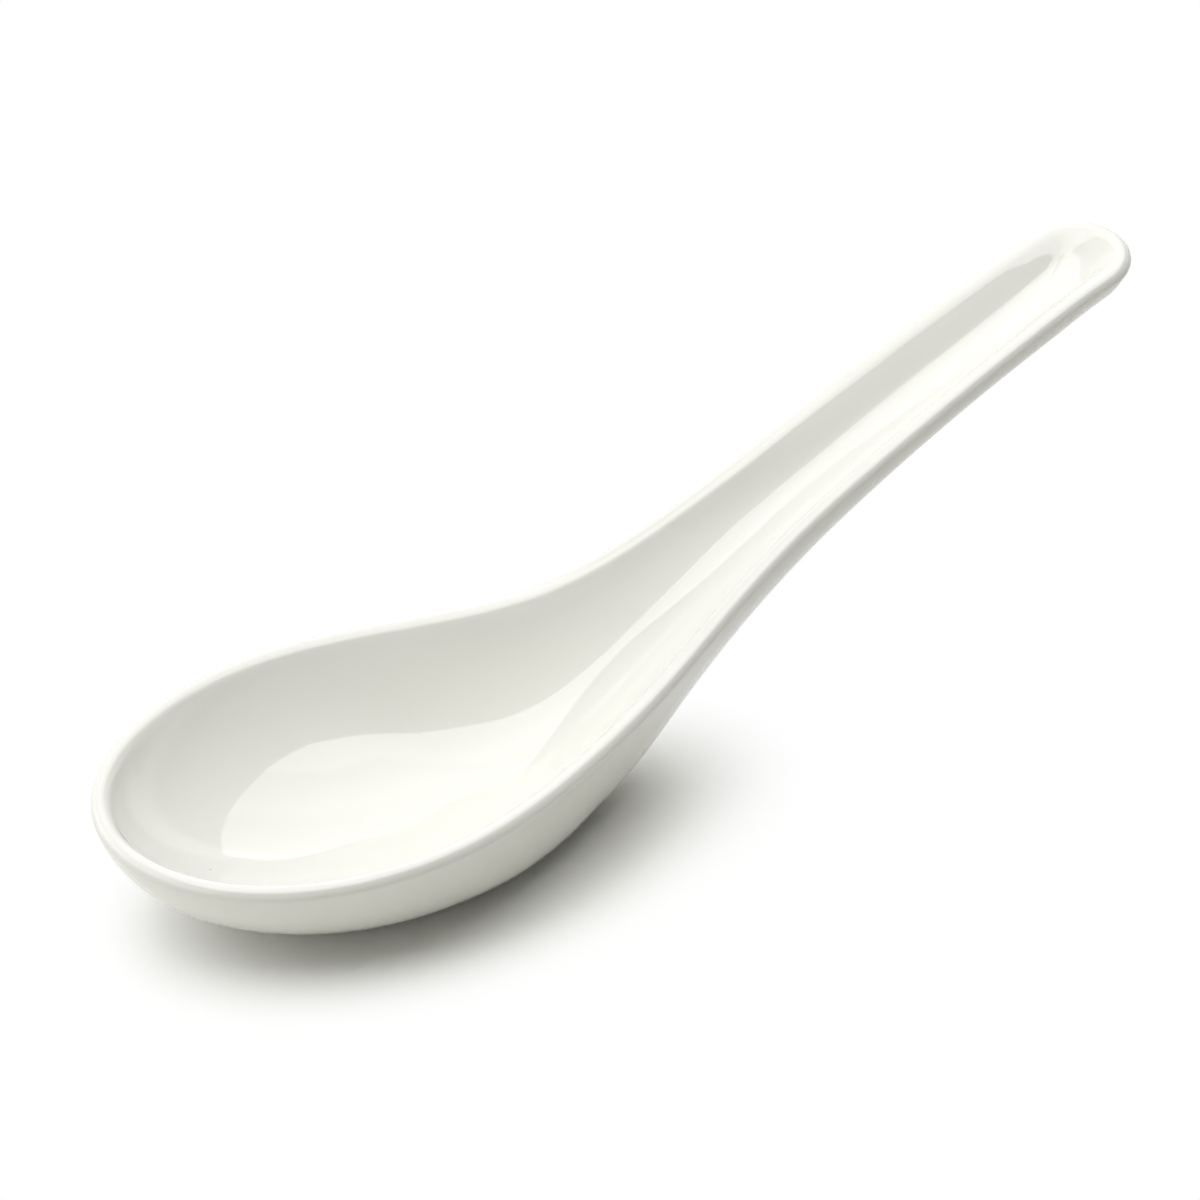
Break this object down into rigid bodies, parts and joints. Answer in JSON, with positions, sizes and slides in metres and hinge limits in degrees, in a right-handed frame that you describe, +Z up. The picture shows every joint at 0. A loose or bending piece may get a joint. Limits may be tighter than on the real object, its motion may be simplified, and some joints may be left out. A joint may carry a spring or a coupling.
{
  "type": "soup spoon",
  "caption": "Porcelain soup spoon: an egg-shaped, flat-footed bowl that runs into a rising, troughed handle, glazed all over except the foot.",
  "frame": {"origin": "on the table, under the middle of the bare foot", "axes": "+X from the bowl's tip towards the handle's end, +Z up out of the bowl, and Y across the bowl; the spoon is symmetric about Y = 0"},
  "size_m": [0.1365, 0.0462, 0.0518],
  "materials": {
    "biscuit": "matt fired clay, bare at the foot only",
    "glaze": "clear glossy glaze over warm white porcelain"
  },
  "bodies": {
    "root": {"porcelain_body": "biscuit", "glaze_coat": "glaze"}
  },
  "joints": []
}
